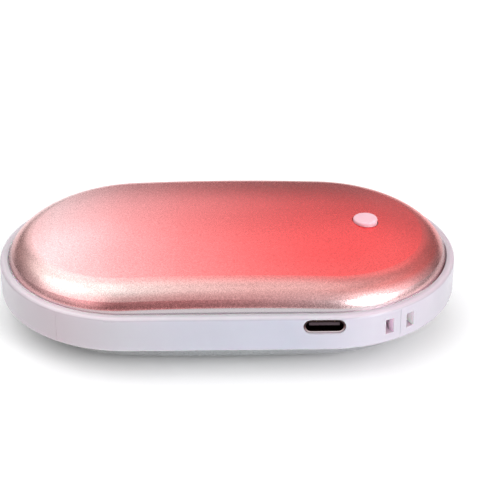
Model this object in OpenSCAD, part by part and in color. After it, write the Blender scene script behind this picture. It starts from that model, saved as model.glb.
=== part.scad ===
// Rechargeable pocket hand warmer: two domed metal covers in a plastic frame, with a heater film
// under each cover, a pouch cell, a circuit board, a USB-C port, a lanyard eyelet and a push button.
// Millimetres, +Z up. The origin is on the table, under the middle of the body.
// Most modules draw about the frame's mid plane, and seated() lifts them to their height.

/* [Body] */
// Overall length, which is the frame's
body_l = 105; // [98:1:120]
// Overall width, which is the frame's
body_w = 61; // [58:1:68]
// Height of the frame band
frame_h = 8.4; // [8.3:0.1:11]

/* [Covers] */
// Rise of each cover above the frame's edge
dome_h = 8.4; // [8.3:0.1:10]
// Radius of the ridge along the body's length
crown_r = 600; // [400:10:900]
// Height of a cover's upright side above the frame
skirt_h = 0.2; // [0:0.1:1]
// Radius of a cover's lower side
edge_r = 4.8; // [4:0.1:6]
// Radius of a cover's shoulder
shoulder_r = 8.3; // [7:0.1:10]
// Angle at which the side curve meets the shoulder curve
edge_a = 36.8699; // [30:0.0001:45]
// Sheet thickness of a cover
cover_t = 0.8; // [0.5:0.05:1]
// Depth to which a cover sits in the frame
cover_seat = 0.5; // [0.4:0.05:0.55]
// Depth by which the back cover is sunk further into the frame than the top one
back_sink = 0.8; // [0:0.1:0.8]
// Depth of the flat on the back cover
rest_cut = 0.3; // [0.1:0.05:0.4]

/* [Frame] */
// Width of the lip round each cover
lip_w = 1.75; // [1.5:0.05:2.2]
// Gap between the lip and a cover
cover_gap = 0.15; // [0.1:0.05:0.3]
// Width of the ledge on which a cover sits
seat_w = 1.1; // [1:0.05:1.3]
// Radius of the frame's outer edges
frame_edge_r = 0.9; // [0.3:0.1:1.4]
// Width of a parting line
seam_w = 0.16; // [0.1:0.02:0.3]
// Depth of a parting line
seam_d = 0.08; // [0.04:0.02:0.15]

/* [Eyelet] */
// Direction of the eyelet and the parting lines, from the body's long axis
eyelet_a = 59; // [50:1:65]
// Width of an eyelet slot
slot_w = 2.1; // [1.6:0.1:2.6]
// Height of an eyelet slot
slot_h = 3.6; // [3:0.1:3.7]
// Width of the pillar between the slots
pillar_w = 3.4; // [2.5:0.1:4]
// Thickness of the pillar
pillar_t = 2; // [1.5:0.1:2.5]
// Depth of the way behind the pillar
tunnel_d = 2; // [1.5:0.1:2.5]
// Wall round the slots
eyelet_wall = 0.9; // [0.7:0.05:0.9]

/* [Port] */
// Distance of the port's middle from the end of the straight side
port_in = 1.2; // [0:0.1:4]
// Height of the port's middle above the frame's middle
port_z = 1.8; // [1.3:0.05:1.85]
// Width of the socket shell
usb_w = 8.94; // [8.8:0.01:9.1]
// Height of the socket shell
usb_h = 3.16; // [3:0.01:3.2]
// Depth of the socket shell
usb_l = 7.35; // [6.5:0.05:8]
// Sheet thickness of the socket shell
usb_t = 0.3; // [0.2:0.05:0.35]
// Distance of the socket's mouth behind the frame's face
usb_recess = 0.45; // [0.2:0.05:0.8]
// Clearance round the socket shell
port_gap = 0.16; // [0.1:0.01:0.2]
// Width of the bevel round the port
port_bevel = 0.35; // [0.2:0.05:0.5]

/* [Button] */
// Distance of the button's middle from the body's right end
button_in = 20.8; // [19.5:0.1:23]
// Diameter of the button
button_d = 5.6; // [4.5:0.1:6]
// Rise of the button above the cover
button_rise = 0.85; // [0.5:0.05:1.2]
// Gap round the button
button_gap = 0.15; // [0.1:0.01:0.25]
// Radius of the button's upper edge
button_edge_r = 0.45; // [0.2:0.05:0.6]
// Rim of the flange that keeps the button in
flange_w = 0.9; // [0.6:0.1:1.2]
// Thickness of the flange
flange_t = 0.8; // [0.6:0.1:1]
// Travel of the button
button_travel = 0.4; // [0.3:0.05:0.5]

/* [Inner covers] */
// Wall thickness of an inner cover
liner_t = 1.2; // [1:0.05:1.4]
// Thickness of a heater film
heater_t = 0.25; // [0.15:0.05:0.3]
// Distance of a heater film's edge from the edge of its cover
heater_margin = 7; // [6:0.5:10]
// Glue gap between a cover, its film and its inner cover
glue_gap = 0.1; // [0.05:0.01:0.15]
// Gap between the two inner covers
split_gap = 0.6; // [0.4:0.1:1]
// Thickness of a rib
rib_t = 1; // [0.8:0.1:1.4]
// Distance between ribs
rib_pitch = 9; // [7:0.5:12]
// Length of a snap lug
lug_l = 6; // [4:0.5:7]
// Reach of a snap lug
lug_reach = 0.7; // [0.5:0.05:0.8]
// Height of a snap lug
lug_h = 0.9; // [0.6:0.1:1.2]
// Gap beside a snap finger
finger_gap = 0.8; // [0.6:0.1:1]

/* [Cell] */
// Length of the pouch cell
cell_l = 46; // [40:1:46]
// Width of the pouch cell
cell_w = 38; // [30:1:38]
// Thickness of the pouch cell
cell_t = 10; // [8:0.5:10]
// Place of the cell's left end
cell_x = -36; // [-36:0.5:-35]
// Thickness of a foam pad
foam_t = 1; // [0.6:0.1:1.2]
// Width of the tape round the cell
tape_w = 6; // [4:0.5:8]
// Thickness of the tape
tape_t = 0.05; // [0.03:0.01:0.08]
// Width of the cell's sealed edge with the tabs
terrace_w = 2.6; // [2:0.1:2.6]
// Gap between the cell and its tray
cell_gap = 0.3; // [0.2:0.05:0.4]

/* [Board] */
// Thickness of the circuit board
board_t = 1.2; // [0.8:0.1:1.6]
// Space between the cell and the board
board_space = 2.8; // [2.6:0.1:3]
// Gap between the board and the inner covers
board_gap = 0.5; // [0.3:0.1:0.8]
// Diameter of a board post
post_d = 4.4; // [4:0.1:5]
// Diameter of a screw's thread
screw_d = 2; // [1.8:0.1:2.2]
// Diameter of a screw's head
screw_head_d = 3.6; // [3.2:0.1:4]
// Length of a screw below its head
screw_l = 5; // [4:0.5:6]
// Height of the switch body
switch_h = 3.3; // [3:0.1:3.6]
// Side of the switch body
switch_w = 6; // [5.5:0.1:6.5]
// Diameter of the switch plunger
plunger_d = 3.4; // [3:0.1:3.6]
// Diameter of the coil
coil_d = 6.4; // [5:0.1:7]
// Height of the coil
coil_h = 3; // [2.5:0.1:3.5]
// Diameter of the large capacitor
can_d = 6.3; // [5:0.1:6.5]
// Height of the large capacitor
can_h = 5; // [4:0.1:5.4]
// Side of the power chip
power_w = 5; // [4:0.1:5]
// Length of the control chip
control_l = 4.9; // [4:0.1:5]
// Width of the control chip
control_w = 3.9; // [3:0.1:4]
// Length of a heater transistor
fet_l = 2.9; // [2:0.1:3]
// Length of a small capacitor
mlcc_l = 1.6; // [1:0.1:1.8]

/* [Hidden] */
$fn = 96;

fine = 720;            // segments of a large circle, of which only a short arc is drawn
eps = 0.01;            // overlap of a cut with the face that it starts from
half_l = (body_l - body_w) / 2;
port_x = half_l - port_in;
button_x = body_l / 2 - button_in;
frame_r = body_w / 2;
frame_in = frame_r - lip_w - seat_w;
rest_z = frame_h / 2 + dome_h - rest_cut;
mid_z = rest_z - back_sink;

// Cross-section of a cover: side, shoulder and top are three arcs, each tangent to the next.
// Its zero is the frame's edge, on the body's centre line.
rim_r = frame_r - lip_w - cover_gap;
edge_c = [rim_r - edge_r, skirt_h];
shoulder_c = edge_c - (shoulder_r - edge_r) * [cos(edge_a), sin(edge_a)];
shoulder_drop = dome_h - shoulder_c[1];
top_r = (pow(shoulder_c[0], 2) + pow(shoulder_drop, 2) - pow(shoulder_r, 2))
    / (2 * (shoulder_drop - shoulder_r));
top_c = [0, dome_h - top_r];
top_a = atan2(shoulder_c[1] - top_c[1], shoulder_c[0]);
sweep_r = crown_r - dome_h;
lean = asin(half_l / sweep_r);

// Distances below a cover's outer surface
heater_in = cover_t + glue_gap;
liner_in = heater_in + heater_t + glue_gap;
liner_inner = liner_in + liner_t;

// Heights from the frame's middle
edge_z = frame_h / 2;
seat_z = edge_z - cover_seat;
board_top = port_z - usb_h / 2;
board_low = board_top - board_t;
foam_low = cell_t / 2 + 0.05;
rib_low = foam_low + foam_t + 0.05;
tray_z = -1.6;
finger_z = edge_z - 0.6;
lug_z = 1;

// Height of a cover's ridge, or of a layer inset below it, at a place beyond the straight middle
ridge_x = (sweep_r + top_c[1]) * sin(lean);
ridge_z = edge_z + dome_h - crown_r + (sweep_r + top_c[1]) * cos(lean);
function ridge(x, inset = 0) = ridge_z + sqrt(pow(top_r - inset, 2) - pow(x - ridge_x, 2));
// The same at a place beside the centre line
function skin(x, y, inset = 0) = ridge(x, inset) - y * y / (2 * (top_r - inset));

// The button and the switch under it
button_top = ridge(button_x) + button_rise;
guide_z = 8;
flange_top = guide_z - 0.1;
button_low = flange_top - flange_t;
plunger_top = button_low - 0.05;
switch_floor = board_top + 0.5;
plunger_low = board_top + 1;
cavity_top = board_top + switch_h;

// Eyelet
slot_y = (pillar_w + slot_w) / 2;
eyelet_in = frame_r - pillar_t - tunnel_d;

// Snap lugs on the straight sides, and one at each end
lug_xs = [-0.68 * half_l, 0.23 * half_l];

// Cell, and the board beside it with its screws, the tab under the port and the lamps
cell_end = cell_x + cell_l;
board_x = cell_end + terrace_w + board_space;
board_r = rim_r - liner_inner - board_gap;
post_places = [
    [board_x + 3.6, board_r - 7.15],
    [board_x + 3.3, 9.15 - board_r],
    [half_l + board_r - 4.65, 5.5],
];
tab_w = usb_w + 1.6;
led_r = 4.8;
cell_r = cell_t / 5;
tab_y = 8;
guard_z = 0.35;
guard_t = 0.8;
fuse_l = 6;

// Places of the larger parts on the board
part_x = board_x + 8.6;
power_at = [part_x + 1, 13.15 - board_r];
control_at = [part_x + 0.5, board_r - 14.65];
coil_at = [half_l + board_r - 9.15, 16.15 - board_r];
can_at = [half_l + board_r - 10.65, board_r - 12.65];

// Socket: its mouth, and the face of its insulator with the tongue
tongue_w = 6.69;
tongue_t = 0.7;
tongue_l = 4.45;
block_l = 1.6;
usb_mouth = usb_recess - frame_r;
usb_back = usb_mouth + usb_l - usb_t - 0.05 - block_l;

// Outline and lowest height of a heater film
heater_r = rim_r - heater_margin;
heater_low = ridge(half_l + heater_r, heater_in + heater_t) - 0.1;

// Thick wires from the cell, and thin ones that drop from the films through slots
lead_d = 0.9;
thin_d = 0.8;
lead_x = board_x + 1.6;
lead_y = 8.5;
lead_slot_w = 4.4;
pad_z = board_top + lead_d / 2;
lead_start = [cell_end + 1.3, 0, guard_z + guard_t + lead_d / 2];
heater_z = skin(lead_x, lead_y + 2, heater_in + heater_t) - 0.1;

// Forms that several parts share

// Lifts what is drawn about the frame's middle to its place above the table
module seated() {
    translate([0, 0, mid_z]) children();
}

// Turns what is drawn for the top cover over to the back cover's place
module turned_over() {
    translate([0, 0, back_sink]) mirror([0, 0, 1]) children();
}

// Stadium outline with the body's centre distance
module stadium(r) {
    for (side = [-1, 1]) translate([side * half_l, 0]) circle(r = r);
    square([2 * half_l, 2 * r], center = true);
}

// Half of a cover's cross-section at a depth below the outer surface, from a floor upwards
module dome_profile(inset, floor) {
    reach = 2 * rim_r;
    intersection() {
        union() {
            translate([0, floor]) square([rim_r - inset, skirt_h - floor]);
            translate(edge_c) circle(r = edge_r - inset);
            intersection() {
                translate(shoulder_c) circle(r = shoulder_r - inset);
                translate(shoulder_c) rotate(edge_a) translate([-reach, 0]) square([2 * reach, reach]);
            }
            intersection() {
                translate(top_c) circle(r = top_r - inset, $fn = fine);
                translate(top_c) rotate(top_a) square(2 * top_r);
            }
        }
        translate([0, floor]) square([rim_r, dome_h - floor]);
    }
}

// Solid under a cover's surface at a depth, down to a height. Each half is a half turn of the
// cross-section at the body's end, and a sweep of it round the ridge's large radius to the middle.
module dome_body(inset, floor_z) {
    low = floor_z - edge_z - 3;
    intersection() {
        for (side = [0, 1]) mirror([side, 0, 0]) intersection() {
            translate([0, 0, edge_z + dome_h - crown_r]) rotate([0, lean, 0]) translate([0, 0, sweep_r]) {
                rotate(-90) rotate_extrude(angle = 180) dome_profile(inset, low);
                translate([0, 0, -sweep_r]) rotate([90, 0, 0]) rotate(90)
                    rotate_extrude(angle = 2 * lean, $fn = 2 * fine) translate([sweep_r, 0]) rotate(-90) {
                        dome_profile(inset, low);
                        mirror([1, 0]) dome_profile(inset, low);
                    }
            }
            translate([0, -body_w, -body_l]) cube([body_l, 2 * body_w, 2 * body_l]);
        }
        translate([-body_l, -body_w, floor_z]) cube([2 * body_l, 2 * body_w, frame_h + 2 * dome_h]);
    }
}

// Carries a profile of radius and height once round the body's stadium
module round_body() {
    for (side = [-1, 1]) {
        translate([side * half_l, 0, 0]) rotate(-90 * side) rotate_extrude(angle = 180) children();
        mirror([0, (1 - side) / 2, 0]) rotate([90, 0, 90])
            linear_extrude(2 * half_l, center = true) children();
    }
}

// Places what is drawn on the +X axis at the eyelet
module at_eyelet() {
    translate([half_l, 0, 0]) rotate(-eyelet_a) children();
}

// Block of a radial range, a width and a height, centred on the eyelet's direction
module eyelet_block(r1, r2, w, h) {
    at_eyelet() translate([r1, -w / 2, -h / 2]) cube([r2 - r1, w, h]);
}

// Places what is drawn on the +Y side at each lug: four on the sides and one at each end
module at_lugs() {
    for (x = lug_xs) translate([x, 0, 0]) {
        children();
        mirror([0, 1, 0]) children();
    }
    for (side = [-1, 1]) translate([side * half_l, 0, 0]) rotate(-90 * side) children();
}

// Flat oblong with round ends, along X
module oblong(w, h) {
    for (side = [-1, 1]) translate([side * (w - h) / 2, 0]) circle(d = h);
    square([w - h, h], center = true);
}

// Oblong solid that runs from the port's mouth into the body
module port_oblong(w, h, y1, y2) {
    translate([port_x, y1, port_z]) rotate([90, 0, 0]) mirror([0, 0, 1])
        linear_extrude(y2 - y1) oblong(w, h);
}

// Points of a smooth curve through the given points
function curve_point(p, i, t) = let (
    a = p[max(i - 1, 0)], b = p[i], c = p[i + 1], d = p[min(i + 2, len(p) - 1)]
) 0.5 * (2 * b + (c - a) * t + (2 * a - 5 * b + 4 * c - d) * t * t + (3 * b - a - 3 * c + d) * t * t * t);
function curve(p, steps) = [
    for (i = [0 : len(p) - 2], k = [0 : steps - 1]) curve_point(p, i, k / steps),
    p[len(p) - 1]
];
function unit(v) = v / norm(v);

// Round wire along a curve through the given points
module wire(points, d, steps = 4, sides = 8) {
    p = curve(points, steps);
    n = len(p);
    rings = [
        for (i = [0 : n - 1]) let (
            t = unit(p[min(i + 1, n - 1)] - p[max(i - 1, 0)]),
            u = unit(cross(t, [0.31, 0.95, 0.05])),
            v = cross(t, u)
        ) for (k = [0 : sides - 1]) p[i] + d / 2 * (u * cos(360 * k / sides) + v * sin(360 * k / sides))
    ];
    sleeve = [
        for (i = [0 : n - 2], k = [0 : sides - 1]) let (a = i * sides, b = (k + 1) % sides)
            [a + k, a + b, a + sides + b, a + sides + k]
    ];
    ends = [
        [for (k = [sides - 1 : -1 : 0]) k],
        [for (k = [0 : sides - 1]) (n - 1) * sides + k],
    ];
    polyhedron(points = rings, faces = concat([for (f = sleeve) [f[3], f[2], f[1], f[0]]],
        [for (f = ends) [for (k = [len(f) - 1 : -1 : 0]) f[k]]]), convexity = 6);
}

// Sheet of a cover, from a height upwards
module cover(floor_z) {
    difference() {
        dome_body(0, floor_z);
        dome_body(cover_t, floor_z - 2);
    }
}

module top_shell() {
    color([0.90, 0.55, 0.55]) seated() difference() {
        cover(seat_z);
        translate([button_x, 0, edge_z]) cylinder(d = button_d + 2 * button_gap + 0.1, h = 2 * dome_h);
    }
}

module bottom_shell() {
    color([0.72, 0.72, 0.74]) seated() turned_over() difference() {
        cover(seat_z);
        translate([-body_l / 2, -body_w / 2, rest_z]) cube([body_l, body_w, dome_h]);
    }
}

// Cross-section of the frame, with both seats
module frame_profile() {
    r = frame_edge_r;
    difference() {
        union() {
            translate([frame_in, r - edge_z]) square([frame_r - frame_in, frame_h - 2 * r]);
            translate([frame_in, -edge_z]) square([frame_r - r - frame_in, frame_h]);
            for (side = [-1, 1]) translate([frame_r - r, side * (edge_z - r)]) circle(r = r);
        }
        for (side = [0, 1]) mirror([0, side])
            translate([frame_in - 1, seat_z - side * back_sink]) square([seat_w + 1, frame_h]);
    }
}

module mid_frame() {
    pocket = lug_l + 0.6;
    color([0.90, 0.89, 0.93]) seated() difference() {
        union() {
            round_body() frame_profile();
            eyelet_block(eyelet_in - eyelet_wall, frame_in + 1, 2 * slot_y + slot_w + 2 * eyelet_wall,
                slot_h + 2 * eyelet_wall);
        }
        for (side = [-1, 1]) at_eyelet()
            translate([eyelet_in, side * slot_y - slot_w / 2, -slot_h / 2])
                cube([pillar_t + tunnel_d + 1, slot_w, slot_h]);
        eyelet_block(eyelet_in, eyelet_in + tunnel_d, pillar_w + slot_w, slot_h);
        port_oblong(usb_w + 2 * port_gap, usb_h + 2 * port_gap, -frame_r - 1, -frame_in + 1);
        port_bevel_cut();
        for (side = [0, 1]) mirror([0, 0, side]) at_lugs()
            translate([-pocket / 2, frame_in - 1, lug_z - 0.2])
                cube([pocket, lug_reach + 1.25, lug_h + 0.4]);
        for (mx = [0, 1], my = [0, 1]) mirror([mx, 0, 0]) mirror([0, my, 0]) at_eyelet()
            translate([frame_r - seam_d, -seam_w / 2, -frame_h]) cube([1, seam_w, 2 * frame_h]);
    }
}

// Bevel round the port: a wider oblong that is only as deep as the bevel
module port_bevel_cut() {
    w = usb_w + 2 * port_gap + port_bevel;
    h = usb_h + 2 * port_gap + port_bevel;
    port_oblong(w, h, -frame_r - 1, -frame_r + port_bevel / 2);
}

// Fingers and lugs that snap the skirt into the frame
module lugs() {
    at_lugs() translate([-lug_l / 2, rim_r - liner_in, lug_z]) rotate([90, 0, 90])
        linear_extrude(lug_l) polygon([[-liner_t / 2, 0], [0.15, 0], [lug_reach, lug_h * 0.4],
            [lug_reach, lug_h * 0.6], [0.15, lug_h], [-liner_t / 2, lug_h]]);
}

module finger_slits() {
    for (side = [-1, 1]) at_lugs()
        translate([side * (lug_l / 2 + finger_gap / 2) - finger_gap / 2, rim_r - liner_inner - 1, -1])
            cube([finger_gap, liner_t + 2, finger_z + 1]);
}

// Ribs from an inner cover, which is sunk by a depth, to its foam pad
module ribs(sink) {
    y_max = cell_w / 2 - 5;
    x_max = cell_x + cell_l - 3;
    intersection() {
        translate([0, 0, -sink]) dome_body(liner_inner - 0.1, rib_low + sink);
        union() {
            for (x = [cell_x + 6 : rib_pitch : x_max])
                translate([x - rib_t / 2, -y_max, 0]) cube([rib_t, 2 * y_max, 2 * edge_z + dome_h]);
            for (y = [-rib_pitch, 0, rib_pitch])
                translate([cell_x + 4, y - rib_t / 2, 0])
                    cube([x_max - cell_x - 4, rib_t, 2 * edge_z + dome_h]);
        }
    }
}

// Slots for the heater's leads and for the thermistor
module lead_slots() {
    for (side = [-1, 1])
        translate([lead_x - 1.5, side * lead_y - lead_slot_w / 2, edge_z + 2])
            cube([3, lead_slot_w, dome_h + 4]);
}

// Skirt, roof, ribs and lugs that both inner covers share, with the depth by which the cover is sunk
module liner(sink) {
    difference() {
        union() {
            translate([0, 0, -sink]) difference() {
                dome_body(liner_in, split_gap / 2 + sink);
                dome_body(liner_inner, split_gap / 2 + sink - 2);
            }
            ribs(sink);
            lugs();
        }
        finger_slits();
        lead_slots();
        eyelet_block(eyelet_in - eyelet_wall - 0.3, frame_r,
            2 * slot_y + slot_w + 2 * eyelet_wall + 0.6, slot_h + 2 * eyelet_wall + 0.6);
        translate([port_x - tab_w / 2 - board_gap, -frame_r, -frame_h])
            cube([tab_w + 2 * board_gap, frame_r - frame_in + 4, frame_h + port_z + usb_h / 2 + 0.5]);
    }
}

module top_liner() {
    color([0.93, 0.93, 0.90]) seated() difference() {
        union() {
            liner(0);
            intersection() {
                dome_body(liner_inner - 0.1, guide_z);
                translate([button_x, 0, 0]) cylinder(d = button_d + 2 * button_gap + 3, h = 2 * dome_h);
            }
        }
        translate([button_x, 0, edge_z]) cylinder(d = button_d + 2 * button_gap, h = 2 * dome_h);
    }
}

module tray_walls() {
    w = cell_w + 2 * cell_gap;
    l = cell_l + terrace_w + 2 * cell_gap;
    t = liner_t;
    translate([cell_x - cell_gap - t, -w / 2 - t, -2 * dome_h]) difference() {
        cube([l + 2 * t, w + 2 * t, 2 * dome_h + tray_z]);
        translate([t, t, -1]) cube([l, w, 4 * dome_h]);
        translate([10, -1, -1]) cube([l - 20, w + 2 * t + 2, 4 * dome_h]);
    }
}

module bottom_liner() {
    color([0.93, 0.93, 0.90]) seated() difference() {
        union() {
            mirror([0, 0, 1]) liner(back_sink);
            intersection() {
                turned_over() dome_body(liner_inner - 0.1, back_sink - board_low);
                for (p = post_places) translate([p[0], p[1], -2 * dome_h])
                    cylinder(d = post_d, h = 2 * dome_h + board_low);
            }
            intersection() {
                turned_over() dome_body(liner_inner - 0.1, back_sink - tray_z);
                tray_walls();
            }
        }
        for (p = post_places) translate([p[0], p[1], board_low - screw_l])
            cylinder(d = screw_d, h = screw_l + 1);
    }
}

// Film that follows the inside of a cover, with a hole round the button
module heater() {
    difference() {
        intersection() {
            difference() {
                dome_body(heater_in, heater_low);
                dome_body(heater_in + heater_t, heater_low - 1);
            }
            linear_extrude(4 * dome_h) stadium(heater_r);
        }
        translate([button_x, 0, 0]) cylinder(d = button_d + 2 * button_gap + 3, h = 4 * dome_h);
    }
}

module top_heater() {
    color([0.80, 0.50, 0.15]) seated() heater();
}

module bottom_heater() {
    color([0.80, 0.50, 0.15]) seated() turned_over() heater();
}

// Button with the flange that the inner cover holds down
module power_button() {
    r = button_d / 2;
    e = button_edge_r;
    color([0.97, 0.90, 0.92]) seated() translate([button_x, 0, 0]) rotate_extrude() {
        translate([0, button_low]) square([r + flange_w, flange_t]);
        translate([0, button_low]) square([r, button_top - e - button_low]);
        translate([0, button_low]) square([r - e, button_top - button_low]);
        translate([r - e, button_top - e]) circle(r = e);
    }
}

module switch_body() {
    color([0.12, 0.12, 0.13]) seated() difference() {
        translate([button_x - switch_w / 2, -switch_w / 2, board_top]) cube([switch_w, switch_w, switch_h]);
        translate([button_x, 0, switch_floor]) cylinder(d = plunger_d + 1.2, h = switch_h);
    }
}

module switch_cover() {
    color([0.80, 0.80, 0.82]) seated() difference() {
        translate([button_x - switch_w / 2, -switch_w / 2, cavity_top]) cube([switch_w, switch_w, 0.2]);
        translate([button_x, 0, board_top]) cylinder(d = plunger_d + 0.3, h = 2 * switch_h);
    }
}

module switch_plunger() {
    r = plunger_d / 2;
    color([0.15, 0.15, 0.16]) seated() translate([button_x, 0, 0]) rotate_extrude() {
        translate([0, plunger_low]) square([r - 0.5, plunger_top - plunger_low]);
        translate([0, cavity_top - 0.7]) square([r + 0.4, 0.6]);
        translate([0, cavity_top - 0.3]) square([r, plunger_top - cavity_top + 0.3]);
    }
}

// Snap dome: a thin cap on the switch's floor
module switch_dome() {
    rise = 0.42;
    foot_r = plunger_d / 2 + 0.3;
    ball_r = (foot_r * foot_r + rise * rise) / (2 * rise);
    color([0.85, 0.85, 0.87]) seated() translate([button_x, 0, switch_floor]) difference() {
        intersection() {
            translate([0, 0, rise - ball_r]) sphere(r = ball_r);
            cylinder(r = foot_r + 1, h = 1);
        }
        translate([0, 0, rise - ball_r]) sphere(r = ball_r - 0.12);
    }
}

module button_leds() {
    color([1.0, 0.95, 0.80]) seated() for (a = [0 : 90 : 270])
        translate([button_x, 0, board_top]) rotate(a) translate([led_r - 0.6, -0.4, 0])
            cube([1.6, 0.8, 0.6]);
}

// Shell of the socket, open at its mouth
module usb_shell() {
    color([0.75, 0.75, 0.77]) seated() difference() {
        port_oblong(usb_w, usb_h, usb_mouth, usb_mouth + usb_l);
        port_oblong(usb_w - 2 * usb_t, usb_h - 2 * usb_t, usb_mouth - 1, usb_mouth + usb_l - usb_t);
    }
}

// Insulator at the back of the shell, with the tongue
module usb_tongue() {
    back = usb_back + block_l;
    color([0.15, 0.15, 0.16]) seated() {
        port_oblong(usb_w - 2 * usb_t - 0.1, usb_h - 2 * usb_t - 0.1, back - block_l, back);
        translate([port_x - tongue_w / 2, back - block_l - tongue_l, port_z - tongue_t / 2])
            cube([tongue_w, tongue_l + eps, tongue_t]);
    }
}

// Twelve contact strips on each face of the tongue
module usb_contacts() {
    pitch = 0.5;
    color([0.85, 0.70, 0.35]) seated() for (i = [0 : 11], side = [0, 1])
        translate([port_x + (i - 5.5) * pitch, usb_back, port_z]) mirror([0, 0, side])
            translate([-0.12, 0.4 - tongue_l, tongue_t / 2]) cube([0.24, tongue_l - 0.5, 0.08]);
}

// Pouch with round long edges, and its sealed edge with the tabs
module battery_cell() {
    color([0.78, 0.79, 0.82]) seated() {
        translate([cell_x, 0, 0]) rotate([90, 0, 90]) linear_extrude(cell_l)
            cell_section(cell_w, cell_t, cell_r);
        translate([cell_end - eps, -cell_w / 2 + 2, -0.2]) cube([terrace_w + eps, cell_w - 4, 0.4]);
    }
}

module cell_section(w, t, r) {
    square([w - 2 * r, t], center = true);
    square([w, t - 2 * r], center = true);
    for (y = [-1, 1], z = [-1, 1]) translate([y * (w / 2 - r), z * (t / 2 - r)]) circle(r = r);
}

module cell_tabs() {
    color([0.80, 0.80, 0.80]) seated() for (side = [-1, 1])
        translate([cell_end + 0.1, side * tab_y - 2, 0.2]) cube([terrace_w - 0.3, 4, 0.15]);
}

module cell_guard_board() {
    color([0.05, 0.30, 0.15]) seated() translate([cell_end + 0.1, 5 - cell_w / 2, guard_z])
        cube([terrace_w - 0.2, cell_w - 10, guard_t]);
}

module thermal_fuse() {
    color([0.85, 0.85, 0.80]) seated() translate([cell_end + 0.3, -fuse_l / 2, guard_z + guard_t])
        cube([2, fuse_l, 1.1]);
}

// Tape band round the cell
module cell_tape() {
    color([0.75, 0.55, 0.15]) seated() translate([cell_x + cell_l * 0.72, 0, 0]) rotate([90, 0, 90])
        linear_extrude(tape_w) difference() {
            cell_section(cell_w + 2 * tape_t, cell_t + 2 * tape_t, cell_r + tape_t);
            cell_section(cell_w + 0.02, cell_t + 0.01, cell_r);
        }
}

module foam_pad() {
    translate([cell_x + 4, -cell_w / 2 + 4, foam_low]) cube([cell_l - 8, cell_w - 8, foam_t]);
}

module top_foam_pad() {
    color([0.25, 0.25, 0.27]) seated() foam_pad();
}

module bottom_foam_pad() {
    color([0.25, 0.25, 0.27]) seated() mirror([0, 0, 1]) foam_pad();
}

// Board with a tab under the port, and a notch for the eyelet
module main_board() {
    color([0.05, 0.28, 0.16]) seated() difference() {
        translate([0, 0, board_low]) linear_extrude(board_t) difference() {
            union() {
                intersection() {
                    stadium(board_r);
                    translate([board_x, -body_w]) square([body_l, 2 * body_w]);
                }
                intersection() {
                    stadium(frame_in - 0.3);
                    translate([port_x - tab_w / 2, -frame_in]) square([tab_w, 7]);
                }
            }
            for (p = post_places) translate(p) circle(d = screw_d + 0.3);
        }
        eyelet_block(eyelet_in - eyelet_wall - 0.4, frame_r,
            2 * slot_y + slot_w + 2 * eyelet_wall + 0.8, slot_h + 4);
    }
}

// Places what is drawn on the table on the board
module on_board(p) {
    translate([p[0], p[1], board_top]) children();
}

// Flat chip with legs along two sides
module chip(l, w, h, legs, pitch) {
    translate([-l / 2, -w / 2, 0.1]) cube([l, w, h]);
    for (i = [0 : legs - 1], side = [0, 1]) mirror([0, side, 0])
        translate([(i - (legs - 1) / 2) * pitch - 0.2, w / 2 - 0.2, 0]) cube([0.4, 1.1, 0.3]);
}

module power_chip() {
    color([0.10, 0.10, 0.11]) seated() on_board(power_at) chip(power_w, power_w, 0.9, 6, 0.8);
}

module control_chip() {
    color([0.10, 0.10, 0.11]) seated() on_board(control_at) chip(control_l, control_w, 1.4, 4, 1.27);
}

module boost_coil() {
    base = coil_d + 0.1;
    color([0.22, 0.22, 0.24]) seated() on_board(coil_at) {
        translate([-base / 2, -base / 2, 0]) cube([base, base, 0.8]);
        cylinder(d = coil_d / 2, h = coil_h - 0.6);
        translate([0, 0, 0.8]) cylinder(d = coil_d - 0.4, h = coil_h - 1.8);
        translate([0, 0, coil_h - 0.8]) cylinder(d = coil_d, h = 0.8);
    }
}

module bulk_capacitor() {
    base = can_d + 0.3;
    color([0.80, 0.80, 0.82]) seated() on_board(can_at) {
        translate([-base / 2, -base / 2, 0]) cube([base, base, 0.8]);
        cylinder(d = can_d, h = can_h);
    }
}

module ceramic_capacitors() {
    h = mlcc_l / 2;
    color([0.75, 0.65, 0.50]) seated() for (i = [0 : 3], y = [7.25, 9.05])
        on_board([part_x + 1.5 * mlcc_l * i, y - board_r]) translate([-h, -h / 2, 0]) cube([mlcc_l, h, h]);
}

module heater_transistors() {
    color([0.10, 0.10, 0.11]) seated() for (x = [part_x, part_x + 1.5 * fet_l])
        on_board([x, board_r - 6.6]) chip(fet_l, fet_l / 2, 1, 2, 1.9);
}

module board_screws() {
    color([0.70, 0.70, 0.72]) seated() for (p = post_places) translate([p[0], p[1], board_top]) {
        cylinder(d = screw_head_d, h = 1.2);
        translate([0, 0, 1 - board_t - screw_l])
            cylinder(d = screw_d - 0.1, h = board_t + screw_l - 1 + eps);
    }
}

// Wire from the cell's protection board to the circuit board
module battery_lead(side) {
    wire([lead_start + [0, side * 6, 0], lead_start + [1, side * 6.3, 1.2],
        [board_x + 1, side * 6.5, pad_z + 0.9], [board_x + 2.4, side * 6.2, pad_z]], lead_d);
}

module battery_lead_red() {
    color("red") seated() battery_lead(1);
}

module battery_lead_black() {
    color([0.1, 0.1, 0.1]) seated() battery_lead(-1);
}

// Two wires from a heater or thermistor, through its slot in the inner cover, to the board
module drop_leads(y, from_z, to_z) {
    for (side = [-1, 1])
        wire([[lead_x, y + side * 0.8, from_z], [lead_x - 0.4, y + side * 0.9, (2 * from_z + to_z) / 3],
            [lead_x + 0.2, y + side * 1.1, (from_z + 2 * to_z) / 3],
            [lead_x + 0.6, y + side * 1.2, to_z]], thin_d);
}

module top_heater_leads() {
    color([0.95, 0.95, 0.95]) seated() drop_leads(lead_y, heater_z, board_top + 0.05);
}

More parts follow.
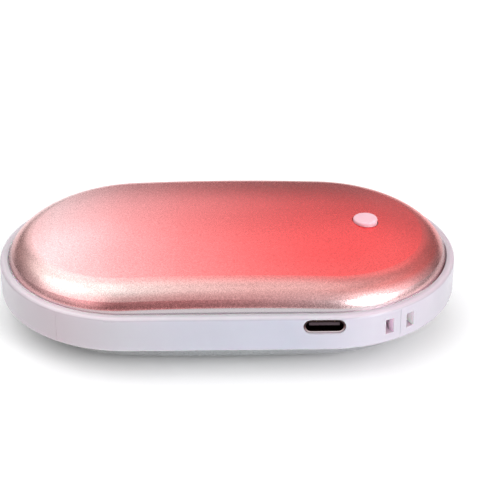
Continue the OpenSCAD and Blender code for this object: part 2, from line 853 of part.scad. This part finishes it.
module bottom_heater_leads() {
    color([0.95, 0.95, 0.95]) seated() drop_leads(lead_y, back_sink - heater_z, board_low - 0.05);
}

// Thermistor bead against the heater film, with its two legs
module thermistor(z, to_z) {
    bead = 1.6;
    up = sign(z);
    translate([lead_x - 0.7, -lead_y - 1.1, z - up * bead / 2 - bead / 2]) cube([1.4, 2.2, bead]);
    drop_leads(-lead_y, z - up * bead / 2, to_z);
}

module top_thermistor() {
    color([0.20, 0.25, 0.20]) seated() thermistor(heater_z, board_top + 0.05);
}

module bottom_thermistor() {
    color([0.20, 0.25, 0.20]) seated() thermistor(back_sink - heater_z, board_low - 0.05);
}

top_shell();
bottom_shell();
mid_frame();
top_liner();
bottom_liner();
top_heater();
bottom_heater();
power_button();
usb_shell();
usb_tongue();
usb_contacts();
battery_cell();
cell_tabs();
cell_guard_board();
cell_tape();
thermal_fuse();
top_foam_pad();
bottom_foam_pad();
main_board();
power_chip();
control_chip();
boost_coil();
bulk_capacitor();
ceramic_capacitors();
heater_transistors();
button_leds();
switch_body();
switch_cover();
switch_plunger();
switch_dome();
battery_lead_red();
battery_lead_black();
top_heater_leads();
bottom_heater_leads();
top_thermistor();
bottom_thermistor();
board_screws();
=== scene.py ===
"""Looks of the pocket hand warmer: its materials, the studio round it and the camera."""

import math

import bmesh
import bpy
from mathutils import Matrix, Vector


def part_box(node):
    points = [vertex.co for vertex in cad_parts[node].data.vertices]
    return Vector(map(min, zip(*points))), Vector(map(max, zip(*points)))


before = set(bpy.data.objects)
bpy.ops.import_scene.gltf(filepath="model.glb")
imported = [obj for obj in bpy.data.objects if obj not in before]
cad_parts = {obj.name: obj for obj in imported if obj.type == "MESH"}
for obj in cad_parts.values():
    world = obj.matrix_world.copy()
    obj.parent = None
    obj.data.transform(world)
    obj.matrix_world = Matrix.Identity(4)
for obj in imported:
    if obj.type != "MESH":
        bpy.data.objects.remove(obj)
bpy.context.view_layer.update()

# Sizes and places are in millimetres, and MM turns them into metres.
MM = 0.001


def box_mm(name):
    """Lowest and highest corner of a CAD node, in millimetres."""
    return [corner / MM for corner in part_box(name)]


# The white frame: its middle and half height, its half length, and the radius and the axes of its round ends
frame_low, frame_high = box_mm("mid_frame")
MID = (frame_low.z + frame_high.z) / 2
HALF_HEIGHT = (frame_high.z - frame_low.z) / 2
HALF_LENGTH = frame_high.x
END_R = frame_high.y
END_X = HALF_LENGTH - END_R
# Thickness of the frame's outer skin: what lies deeper than this looks inwards
SKIN = 0.2
# Where the eyelet's left slot lies along the body
SLOT_X = (30.0, 37.0)

# The push button, and a circle round it that takes in the wall of its hole
button_low, button_high = box_mm("power_button")
BUTTON_X = (button_low.x + button_high.x) / 2
HOLE_MARGIN = 0.8
HOLE_R = button_high.y + HOLE_MARGIN


# Materials


class Nodes:
    """A node tree, with short calls for its nodes and links."""

    def __init__(self, tree):
        self.tree = tree

    def put(self, socket, value):
        """Links a node's output to a socket, or sets the socket to a plain value."""
        if isinstance(value, bpy.types.NodeSocket):
            self.tree.links.new(value, socket)
        else:
            socket.default_value = value

    def add(self, kind, **inputs):
        """Adds a node and fills its inputs. A _ in a name stands for a space."""
        new = self.tree.nodes.new(kind)
        for name, value in inputs.items():
            self.put(new.inputs[name.replace("_", " ")], value)
        return new

    def calc(self, op, a, b=0.0, c=0.0, clamp=False):
        """Adds one step of arithmetic."""
        new = self.add("ShaderNodeMath")
        new.operation = op
        new.use_clamp = clamp
        for socket, value in zip(new.inputs, (a, b, c)):
            self.put(socket, value)
        return new.outputs[0]

    def span(self, value, start, end):
        """Goes evenly from 0, where the value is start, to 1, where it is end, with no change beyond them."""
        reach = end - start
        return self.calc("MULTIPLY_ADD", value, 1 / reach, -start / reach, clamp=True)

    def length(self, a, b):
        """Length of a vector with these two parts."""
        return self.calc("SQRT", self.calc("MULTIPLY_ADD", a, a, self.calc("MULTIPLY", b, b)))


class Mat(Nodes):
    """A node material."""

    # Sockets of a Mix node that mixes colours
    FACTOR, FIRST, SECOND, RESULT = 0, 6, 7, 2
    # Most of a noise lies between these two values
    LOW, HIGH = 0.3, 0.7

    def __init__(self, name):
        self.material = bpy.data.materials.new(name)
        self.material.use_nodes = True
        super().__init__(self.material.node_tree)
        self.shader = self.tree.nodes["Principled BSDF"]

    def set(self, **inputs):
        """Fills inputs of the shader."""
        for name, value in inputs.items():
            self.put(self.shader.inputs[name.replace("_", " ")], value)

    def coords(self, stretch=1.0):
        """Places on the object in metres, stretched by one number or by one for each axis."""
        new = self.add("ShaderNodeMapping", Vector=self.add("ShaderNodeTexCoord").outputs["Object"])
        new.inputs["Scale"].default_value = stretch if isinstance(stretch, tuple) else (stretch,) * 3
        return new.outputs["Vector"]

    def parts(self, vector):
        """X, Y and Z of a vector."""
        return self.add("ShaderNodeSeparateXYZ", Vector=vector).outputs

    def place(self):
        """X, Y and Z of a point of the object, in millimetres."""
        return self.parts(self.coords(1 / MM))

    def facing(self):
        """X, Y and Z of the direction that the surface faces."""
        return self.parts(self.add("ShaderNodeTexCoord").outputs["Normal"])

    def noise(self, scale, detail=4.0, rough=0.6, stretch=1.0):
        """Noise of so many waves a metre."""
        new = self.add("ShaderNodeTexNoise", Vector=self.coords(stretch), Scale=scale)
        self.put(new.inputs["Detail"], detail)
        self.put(new.inputs["Roughness"], rough)
        return new.outputs["Fac"]

    def ramp(self, value, *stops):
        """Colours or levels along a value, given as (value, colour or level)."""
        new = self.add("ShaderNodeValToRGB", Fac=value)
        while len(new.color_ramp.elements) < len(stops):
            new.color_ramp.elements.new(0.5)
        for element, (position, color) in zip(new.color_ramp.elements, stops):
            element.position = position
            element.color = (*(color if isinstance(color, tuple) else (color,) * 3), 1.0)
        return new.outputs["Color"]

    def mix(self, factor, first, second, mode="MIX"):
        """Goes from the first colour to the second one as the factor goes from 0 to 1."""
        new = self.add("ShaderNodeMix")
        new.data_type = "RGBA"
        new.blend_type = mode
        for socket, value in ((self.FACTOR, factor), (self.FIRST, first), (self.SECOND, second)):
            self.put(new.inputs[socket], (*value, 1.0) if isinstance(value, tuple) else value)
        return new.outputs[self.RESULT]

    def tinted(self, color, by):
        """The product of two colours."""
        return self.mix(1.0, color, by, "MULTIPLY")

    def uneven(self, noise, low, high):
        """Makes the roughness follow a noise from low to high."""
        self.set(Roughness=self.ramp(noise, (self.LOW, low), (self.HIGH, high)))

    def bump(self, height, strength, depth):
        """Raises the surface by the height, which goes up to 1, times a depth in millimetres."""
        new = self.add("ShaderNodeBump", Height=height, Strength=strength, Distance=depth * MM)
        self.set(Normal=new.outputs["Normal"])


def shades(color, *levels):
    """A colour at several levels of brightness."""
    return [tuple(min(1.0, part * level) for part in color) for level in levels]


def plastic(name, color, rough=0.4, vary=0.05, grain=4000.0, depth=0.01):
    """Moulded plastic or resin: a faintly clouded colour under a fine grain."""
    clouds, wear = 160.0, 420.0
    m = Mat(name)
    m.set(Base_Color=m.mix(m.noise(clouds), *shades(color, 1 - vary, 1 + vary)))
    m.uneven(m.noise(wear, detail=3.0), rough * 0.88, min(1.0, rough * 1.1))
    m.bump(m.noise(grain, detail=2.0), 0.25, depth)
    return m.material


def metal(name, color, rough=0.3, grain=9000.0, depth=0.01, stretch=1.0):
    """Plain or plated metal: a grain that can run one way, and uneven shine."""
    clouds, wear = 260.0, 700.0
    m = Mat(name)
    m.set(Metallic=1.0, Base_Color=m.mix(m.noise(clouds), *shades(color, 0.93, 1.04)))
    m.uneven(m.noise(wear, detail=3.0, stretch=stretch), rough * 0.8, rough * 1.2)
    m.bump(m.noise(grain, detail=2.0, stretch=stretch), 0.3, depth)
    return m.material


# Painted shade in the gap between cover and frame grows between these places, towards the button's end and
# the front
GAP_END_X = (42.0, 48.5)
GAP_FRONT_Y = (4.0, 0.0)


def gap_painted_shade(m, x, y):
    """1 where the painted shade in the gap between cover and frame is darkest."""
    return m.calc("MULTIPLY", m.span(x, *GAP_END_X), m.span(y, *GAP_FRONT_Y))


# Half of the stretch along which the covers change their tint
TINT_REACH = 50.0
# Painted shade on the cover's rear side: it darkens between these two places, by this tint
REAR_Y = (8.1, 24.2)
REAR_PAINTED_SHADE = (0.40, 0.24, 0.26)
# Painted shade on the polished foot: towards both ends of the body and away from its front it darkens by this
# tint
FOOT_END_X = (39.0, 48.0)
FOOT_FRONT_Y = (-15.0, -5.0)
FOOT_END_PAINTED_SHADE = (0.50, 0.42, 0.44)
# The foot's colour where it dips into the gap: near-white painted light along the body, and painted shade at
# the gap's dark end
DIP_PAINTED_LIGHT = (0.97, 0.95, 0.96)
DIP_PAINTED_SHADE = (0.62, 0.46, 0.47)
# Wall of the button's hole
HOLE_WALL = (0.95, 0.50, 0.52)
# Lowest and highest roughness of the grain, and that of the polished foot
BLASTED = (0.22, 0.30)
POLISHED = 0.22
# How bright the sparkle is along its noise
SPARKLE = ((0.30, 0.72), (0.50, 0.97), (0.70, 1.22))
# Painted light and shade of the cover's slopes: the edge, shoulder and crown tints are lit and shaded copies
# Ramps over how flat the surface lies, from 0 where it is upright to 1 where it is level: the way from the
# edge's tint to the shoulder's, the share of both against the crown's tint, and the upright foot
EDGE_TO_SHOULDER = ((0.56, 0.0), (0.78, 1.0))
SIDE_SHARE = ((0.86, 1.0), (0.90, 0.9), (0.95, 0.58), (0.99, 0.0))
UPRIGHT = ((0.235, 1.0), (0.275, 0.0))
# How much of the side's share, with its painted light, is left as the surface starts to face backwards
FACING_BACK = (0.0, 0.25)
BACK_SHARE = ((0.0, 1.0), (1.0, 0.25))


def cover_metal(name, crown, shoulder, edge, foot, shade, grain, strength=0.35):
    """Bead-blasted, anodised sheet over a polished foot, with painted light and shade.

    The blasted part sparkles, over a tint that changes along the body and from the crown over the shoulder
    to the edge: the tints hold the metal's colour together with painted highlights and painted shade for each
    slope, and the side's painted light fades as the surface faces backwards. The foot has no grain; painted
    shade darkens it towards both ends, and where it dips into the gap it takes painted light and painted
    shade.
    Each tint is a row of (place along the body, colour), and shade is a row of (place, how far painted shade
    darkens the rear side)."""
    m = Mat(name)
    m.set(Metallic=1.0)
    x, y, z = m.place()
    _, backwards, up = m.facing()
    along = m.span(x, -TINT_REACH, TINT_REACH)
    flat = m.calc("ABSOLUTE", up)

    # Painted light and shade: the edge's and the shoulder's tints over the crown's, fading as the surface
    # faces backwards
    side = m.mix(m.ramp(flat, *EDGE_TO_SHOULDER), m.ramp(along, *edge), m.ramp(along, *shoulder))
    kept = m.ramp(m.span(backwards, *FACING_BACK), *BACK_SHARE)
    tint = m.mix(m.calc("MULTIPLY", m.ramp(flat, *SIDE_SHARE), kept), m.ramp(along, *crown), side)
    # Painted shade that darkens the cover's rear side
    rear = m.calc("MULTIPLY", m.span(y, *REAR_Y), m.ramp(along, *shade))
    tint = m.mix(rear, tint, m.tinted(tint, REAR_PAINTED_SHADE))
    speck = m.noise(grain, detail=2.0, rough=0.7)
    blasted = m.tinted(tint, m.ramp(speck, *SPARKLE))

    polished = m.ramp(along, *foot)
    # Painted shade on the foot towards both ends
    end = m.calc("MULTIPLY", m.span(m.calc("ABSOLUTE", x), *FOOT_END_X), m.span(y, *FOOT_FRONT_Y))
    polished = m.mix(end, polished, m.tinted(polished, FOOT_END_PAINTED_SHADE))
    # Painted light on the foot inside the gap, and painted shade at the gap's dark end
    dip = m.calc("LESS_THAN", m.calc("ABSOLUTE", m.calc("SUBTRACT", z, MID)), HALF_HEIGHT)
    polished = m.mix(dip, polished, m.mix(gap_painted_shade(m, x, y), DIP_PAINTED_LIGHT, DIP_PAINTED_SHADE))
    hole = m.calc("LESS_THAN", m.length(m.calc("SUBTRACT", x, BUTTON_X), y), HOLE_R)
    polished = m.mix(hole, polished, HOLE_WALL)

    upright = m.ramp(flat, *UPRIGHT)
    m.set(Base_Color=m.mix(upright, blasted, polished))
    rough = m.ramp(m.noise(grain * 0.6, detail=2.0), (m.LOW, BLASTED[0]), (m.HIGH, BLASTED[1]))
    m.set(Roughness=m.mix(upright, rough, (POLISHED,) * 3))
    m.bump(m.mix(upright, speck, (0.5,) * 3), strength, 0.03)
    return m.material


def rose_row(*greens, red=0.78, blue=1.0, ends=1.0):
    """Rose tints from the left end to the button's end, given by their green; they carry painted light and
    shade.

    Red is the same along the row, blue is a share of the green, and ends paints shade on both ends of the row
    by dimming their tints."""
    places = (0.0, 0.10, 0.25, 0.40, 0.55, 0.67, 0.79, 0.92, 1.0)
    levels = [ends] + [1.0] * (len(places) - 2) + [ends]
    return [(at, (red * level, g * level, g * blue * level)) for at, g, level in zip(places, greens, levels)]


def rose_cover():
    """Rose gold, paler at the left end and nearly red towards the button, where a painted red glow deepens
    it.
    """
    # The crown's row paints a red glow that deepens towards the button. The shoulder's and the edge's rows
    # paint highlights, on the shoulder near the left end and on the edge near the button, and a dark band of
    # painted shade along the edge.
    crown = rose_row(0.46, 0.52, 0.33, 0.205, 0.135, 0.100, 0.085, 0.074, 0.074, red=0.86, blue=1.03)
    shoulder = rose_row(0.34, 0.60, 0.63, 0.49, 0.415, 0.40, 0.33, 0.17, 0.17, blue=0.96)
    edge = rose_row(0.44, 0.42, 0.30, 0.29, 0.35, 0.43, 0.60, 0.46, 0.42, blue=1.02, ends=0.5)
    foot = [
        (0.0, (0.53, 0.38, 0.385)), (0.11, (0.56, 0.37, 0.40)), (0.20, (0.55, 0.42, 0.435)),
        (0.32, (0.52, 0.465, 0.485)), (0.45, (0.50, 0.46, 0.475)), (0.67, (0.50, 0.465, 0.485)),
        (0.80, (0.53, 0.44, 0.47)), (0.93, (0.60, 0.41, 0.44)), (1.0, (0.50, 0.33, 0.35)),
    ]
    # Painted shade on the rear side, along the body
    shade = [(0.15, 0.0), (0.40, 0.22), (0.55, 0.46), (0.67, 0.66), (0.80, 0.66), (0.92, 0.10)]
    return cover_metal("rose_anodised", crown, shoulder, edge, foot, shade, 3500.0)


def silver_cover():
    """Silver grey, with painted light that makes it a little brighter towards the button's end."""
    # Painted light: the grey brightens towards the button's end
    grey = [
        (0.0, (0.345, 0.34, 0.335)), (0.15, (0.355, 0.35, 0.35)), (0.40, (0.403, 0.415, 0.43)),
        (0.55, (0.43, 0.447, 0.457)), (0.80, (0.484, 0.48, 0.51)), (1.0, (0.52, 0.515, 0.54)),
    ]
    even = [(0.0, 0.0), (1.0, 0.0)]
    return cover_metal("silver_anodised", grey, grey, grey, grey, even, 6000.0, strength=0.1)


# Painted light and shade on the frame along the body, on its wall and on its lip: lit and shaded copies of
# its white, lighter on the lip that faces up
WALL_PAINTED_LIGHT = [
    (0.0, (0.50, 0.475, 0.51)), (0.14, (0.475, 0.41, 0.445)), (0.25, (0.455, 0.435, 0.472)),
    (0.40, (0.45, 0.449, 0.51)), (0.63, (0.46, 0.465, 0.54)), (0.80, (0.53, 0.506, 0.572)),
    (0.92, (0.475, 0.443, 0.50)), (1.0, (0.375, 0.358, 0.40)),
]
LIP_PAINTED_LIGHT = [
    (0.0, (0.57, 0.52, 0.56)), (0.14, (0.62, 0.55, 0.59)), (0.40, (0.535, 0.515, 0.555)),
    (0.63, (0.54, 0.52, 0.565)), (0.80, (0.58, 0.50, 0.56)), (1.0, (0.50, 0.43, 0.475)),
]
# Painted light on what looks inwards, to the gap round the cover; painted mauve shade in the eyelet's left
# slot, and painted shade at the gap's dark end
INWARD_PAINTED_LIGHT = (0.975, 0.925, 0.96)
SLOT_PAINTED_SHADE = (0.95, 0.78, 0.88)
INWARD_PAINTED_SHADE = (0.50, 0.37, 0.38)
# Ramps over how far the surface faces up: from the wall's painted light to the lip's, and the painted shade
# on the rounding between them
WALL_TO_LIP = ((0.3, 0.0), (0.75, 1.0))
ROUNDING_PAINTED_SHADE = ((0.20, 1.0), (0.42, 0.85), (0.70, 0.85), (0.90, 1.0))


def frame_plastic():
    """Milky white plastic that scatters light, under painted light and shade along the body, lighter on its
    lip and a little darker on the rounding between wall and lip.
    """
    m = Mat("frame_white")
    x, y, _ = m.place()
    up = m.facing()["Z"]
    along = m.span(x, -HALF_LENGTH, HALF_LENGTH)

    past_axis = m.calc("MAXIMUM", m.calc("SUBTRACT", m.calc("ABSOLUTE", x), END_X), 0.0)
    within = m.calc("LESS_THAN", m.length(past_axis, y), END_R - SKIN)
    in_slot = m.calc("MULTIPLY", m.calc("GREATER_THAN", x, SLOT_X[0]), m.calc("LESS_THAN", x, SLOT_X[1]))
    # Painted light on faces that look inwards, painted mauve shade in the left slot and painted shade at the
    # gap's dark end
    inward = m.mix(gap_painted_shade(m, x, y), m.mix(in_slot, INWARD_PAINTED_LIGHT, SLOT_PAINTED_SHADE), INWARD_PAINTED_SHADE)
    wall = m.mix(within, m.ramp(along, *WALL_PAINTED_LIGHT), inward)
    # The wall's and the lip's painted light, with painted shade on the rounding
    milky = m.mix(m.ramp(up, *WALL_TO_LIP), wall, m.ramp(along, *LIP_PAINTED_LIGHT))
    milky = m.tinted(milky, m.ramp(up, *ROUNDING_PAINTED_SHADE))

    m.set(Base_Color=m.tinted(milky, m.ramp(m.noise(90.0), (m.LOW, 0.98), (m.HIGH, 1.02))))
    m.uneven(m.noise(300.0), 0.20, 0.27)
    m.set(Subsurface_Weight=0.7, Subsurface_Radius=(1.0, 0.7, 0.85), Subsurface_Scale=2.2 * MM)
    m.bump(m.noise(900.0, detail=3.0), 0.06, 0.04)
    return m.material


def button_resin():
    """Milky, slightly see-through resin of the push button."""
    m = Mat("button_milky")
    m.set(Base_Color=m.mix(m.noise(500.0), (0.83, 0.49, 0.56), (0.87, 0.54, 0.61)))
    m.uneven(m.noise(900.0), 0.16, 0.24)
    m.set(Subsurface_Weight=0.35, Subsurface_Radius=(1.6 * MM, 1.0 * MM, 1.0 * MM), Subsurface_Scale=1.0)
    m.set(Transmission_Weight=0.15, IOR=1.49)
    m.bump(m.noise(1200.0), 0.05, 0.03)
    return m.material


# Painted highlight and shade on the socket's front rim on the way up, from the frame's middle to this height
# over it: bright at the lower edge, dark higher up
RIM_RISE = 2.0
RIM_PAINTED_LIGHT = [
    (0.10, (0.58, 0.53, 0.54)), (0.28, (0.50, 0.41, 0.41)),
    (0.75, (0.16, 0.09, 0.09)), (1.0, (0.06, 0.04, 0.04)),
]


def port_metal():
    """Socket shell darkened by painted shade, dark maroon inside. Its front rim has a painted highlight along
    the lower edge and painted shade higher up.
    """
    m = Mat("socket_painted_shade")
    in_front = m.calc("LESS_THAN", m.facing()["Y"], -0.9)
    rim = m.ramp(m.span(m.place()["Z"], MID, MID + RIM_RISE), *RIM_PAINTED_LIGHT)
    # Painted shade inside the socket, and the rim's painted highlight and shade on its front
    m.set(Metallic=1.0, Base_Color=m.mix(in_front, (0.075, 0.026, 0.030), rim))
    m.uneven(m.noise(700.0, detail=3.0), 0.24, 0.36)
    m.bump(m.noise(9000.0, detail=2.0), 0.3, 0.01)
    return m.material


def board_mask():
    """Green solder mask with faint copper tracks under it."""
    m = Mat("board_green")
    brick = m.add("ShaderNodeTexBrick", Vector=m.coords(), Scale=260.0, Mortar_Size=0.05)
    track = m.ramp(brick.outputs["Fac"], (0.4, 0.0), (0.6, 1.0))
    green = m.mix(m.noise(300.0), (0.006, 0.09, 0.035), (0.010, 0.13, 0.05))
    m.set(Base_Color=m.mix(track, green, (0.03, 0.20, 0.07)))
    m.uneven(m.noise(800.0), 0.25, 0.38)
    m.bump(track, 0.3, 0.03)
    return m.material


def heater_film():
    """Amber film with its etched foil track showing through, in long folded runs."""
    pitch, gap_share, half_run = 2.63, 0.45, 36.0
    m = Mat("heater_film")
    x, y, _ = m.place()
    line = m.calc("GREATER_THAN", m.calc("FRACT", m.calc("DIVIDE", y, pitch)), gap_share)
    track = m.calc("MULTIPLY", line, m.calc("LESS_THAN", m.calc("ABSOLUTE", x), half_run))
    m.set(Base_Color=m.mix(track, (0.45, 0.19, 0.025), (0.72, 0.52, 0.33)))
    m.set(Metallic=m.calc("MULTIPLY", track, 0.6))
    m.uneven(m.noise(500.0), 0.24, 0.36)
    m.bump(track, 0.4, 0.04)
    return m.material


BOARD = board_mask()
FILM = heater_film()
STEEL = metal("plated_steel", (0.72, 0.72, 0.74), rough=0.24)
GOLD = metal("gold_plate", (0.86, 0.62, 0.26), rough=0.25)
FOIL = metal("cell_foil", (0.60, 0.61, 0.64), rough=0.42, grain=1500.0, depth=0.06)
NICKEL = metal("nickel_strip", (0.66, 0.64, 0.60), rough=0.35, grain=3000.0, stretch=(1.0, 8.0, 1.0))
CAN = metal("can_aluminium", (0.74, 0.74, 0.76), rough=0.22, grain=5000.0)
BLACK = plastic("black_moulded", (0.018, 0.018, 0.02), rough=0.5)
TONGUE = plastic("tongue_black", (0.040, 0.019, 0.028), rough=0.45)
LINER = plastic("liner_natural", (0.74, 0.74, 0.70), rough=0.55)
FOAM = plastic("black_foam", (0.035, 0.035, 0.038), rough=0.95, vary=0.25, grain=1400.0, depth=0.2)
FERRITE = plastic("ferrite", (0.03, 0.03, 0.032), rough=0.6, vary=0.2)
TAN = plastic("ceramic_tan", (0.42, 0.30, 0.16), rough=0.35, vary=0.12)
LAMP = plastic("lamp_resin", (0.90, 0.82, 0.55), rough=0.2)
TAPE = plastic("amber_tape", (0.48, 0.24, 0.03), rough=0.22, vary=0.1)
RED = plastic("red_insulation", (0.55, 0.012, 0.012), rough=0.45, vary=0.1)
DARK = plastic("black_insulation", (0.012, 0.012, 0.012), rough=0.45, vary=0.1)
PALE = plastic("white_insulation", (0.78, 0.78, 0.76), rough=0.45)
BEAD = plastic("thermistor_resin", (0.03, 0.07, 0.04), rough=0.3, vary=0.15)

LOOKS = {
    "top_shell": rose_cover(), "bottom_shell": silver_cover(),
    "mid_frame": frame_plastic(), "power_button": button_resin(),
    "usb_shell": port_metal(), "usb_tongue": TONGUE, "usb_contacts": GOLD,
    "top_liner": LINER, "bottom_liner": LINER, "top_heater": FILM, "bottom_heater": FILM,
    "battery_cell": FOIL, "cell_tabs": NICKEL, "cell_guard_board": BOARD, "cell_tape": TAPE,
    "thermal_fuse": NICKEL, "top_foam_pad": FOAM, "bottom_foam_pad": FOAM,
    "main_board": BOARD, "power_chip": BLACK, "control_chip": BLACK, "boost_coil": FERRITE,
    "bulk_capacitor": CAN, "ceramic_capacitors": TAN, "heater_transistors": BLACK, "button_leds": LAMP,
    "switch_body": BLACK, "switch_cover": STEEL, "switch_plunger": BLACK, "switch_dome": STEEL,
    "battery_lead_red": RED, "battery_lead_black": DARK,
    "top_heater_leads": PALE, "bottom_heater_leads": PALE,
    "top_thermistor": BEAD, "bottom_thermistor": BEAD, "board_screws": STEEL,
}
for name, material in LOOKS.items():
    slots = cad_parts[name].data.materials
    slots.clear()
    slots.append(material)


# Floor


def white_paper():
    """Matt white paper with a faint cloud in it."""
    m = Mat("floor_white")
    m.set(Base_Color=m.mix(m.noise(6.0), (0.93, 0.93, 0.935), (0.95, 0.95, 0.955)), Roughness=0.7)
    return m.material


# Half of the floor's side, in metres
FLOOR_HALF = 3.0
floor_mesh = bpy.data.meshes.new("floor")
bm = bmesh.new()
bmesh.ops.create_grid(bm, x_segments=2, y_segments=2, size=FLOOR_HALF)
bm.to_mesh(floor_mesh)
bm.free()
floor = bpy.data.objects.new("floor", floor_mesh)
bpy.context.collection.objects.link(floor)
floor.data.materials.append(white_paper())


# Light


def soft_sky(rings, level, half_angle=21.3):
    """Studio light: soft round panels in surroundings of one level.

    A ring is (elevation, azimuth of its first panel, power of each panel), and its panels are evenly spaced.
    Azimuths go round from the X axis. A panel reaches half_angle from its middle, and falls off softly."""
    world = bpy.data.worlds.new("studio")
    world.use_nodes = True
    sky = Nodes(world.node_tree)
    toward = sky.add("ShaderNodeTexCoord").outputs["Generated"]
    edge = math.cos(math.radians(half_angle))
    total = level
    for elevation, first, powers in rings:
        height = math.radians(elevation)
        flat = math.cos(height)
        for i, power in enumerate(powers):
            turn = math.radians(first + 360.0 * i / len(powers))
            dot = sky.add("ShaderNodeVectorMath")
            dot.operation = "DOT_PRODUCT"
            sky.put(dot.inputs[0], toward)
            sky.put(dot.inputs[1], (flat * math.cos(turn), flat * math.sin(turn), math.sin(height)))
            panel = sky.add("ShaderNodeMapRange", Value=dot.outputs["Value"], From_Min=edge)
            panel.interpolation_type = "SMOOTHSTEP"
            panel.inputs["To Max"].default_value = power / (math.pi * (1 - edge))
            total = sky.calc("ADD", total, panel.outputs["Result"])
    background = sky.tree.nodes["Background"]
    background.inputs["Color"].default_value = (1.0, 1.0, 1.0, 1.0)
    sky.put(background.inputs["Strength"], total)
    bpy.context.scene.world = world


# The one strong panel stands low at the front right.
SKY = [
    (90, 0, [0.15]),
    (66, 0, [0.1, 0.1, 0.2, 0.25, 0.15, 0.1]),
    (44, 0, [0.15, 0.1, 0.2, 0.25, 0.25, 0.4, 0.3, 0.05, 0.1, 0.2]),
    (22, 15, [0.1, 0.05, 0.1, 0.2, 0.05, 0.1, 0.15, 0.2, 0, 0.05, 2.3, 0.25]),
]
soft_sky(SKY, 0.21)
bpy.context.scene.view_settings.view_transform = "Standard"


# Camera

# How high it stands, how far round and how far it leans, in degrees
ELEVATION, AZIMUTH, ROLL = 29.175, -1.174, 0.041
# A point in the middle of the object, how far right and up of it the camera aims, and how far off it is
CENTRE = Vector((0.0, 0.0, MID + 0.2))
AIM_RIGHT, AIM_UP, DISTANCE = 5.205, 3.444, 380.0
# Its focal length in pixels of the photograph, the photograph's side in pixels, and the width of its sensor
FOCAL_PX, PHOTO_PX, SENSOR = 1631.0, 500, 36.0


def photo_camera():
    """Camera that sees the object as the photograph does."""
    elevation, azimuth, roll = (math.radians(angle) for angle in (ELEVATION, AZIMUTH, ROLL))
    level = math.cos(elevation)
    back = Vector((math.sin(azimuth) * level, -math.cos(azimuth) * level, math.sin(elevation)))
    right = (-back).cross(Vector((0, 0, 1))).normalized()
    up = right.cross(-back)
    spot = CENTRE + AIM_RIGHT * right + AIM_UP * up + DISTANCE * back
    rolled_right = math.cos(roll) * right + math.sin(roll) * up
    rolled_up = math.cos(roll) * up - math.sin(roll) * right
    data = bpy.data.cameras.new("camera")
    data.sensor_width = SENSOR
    data.lens = FOCAL_PX / PHOTO_PX * SENSOR
    data.clip_start = 10.0 * MM
    camera = bpy.data.objects.new("camera", data)
    bpy.context.collection.objects.link(camera)
    turned = Matrix((rolled_right, rolled_up, back)).transposed()
    camera.matrix_world = Matrix.Translation(spot * MM) @ turned.to_4x4()
    return camera


bpy.context.scene.camera = photo_camera()
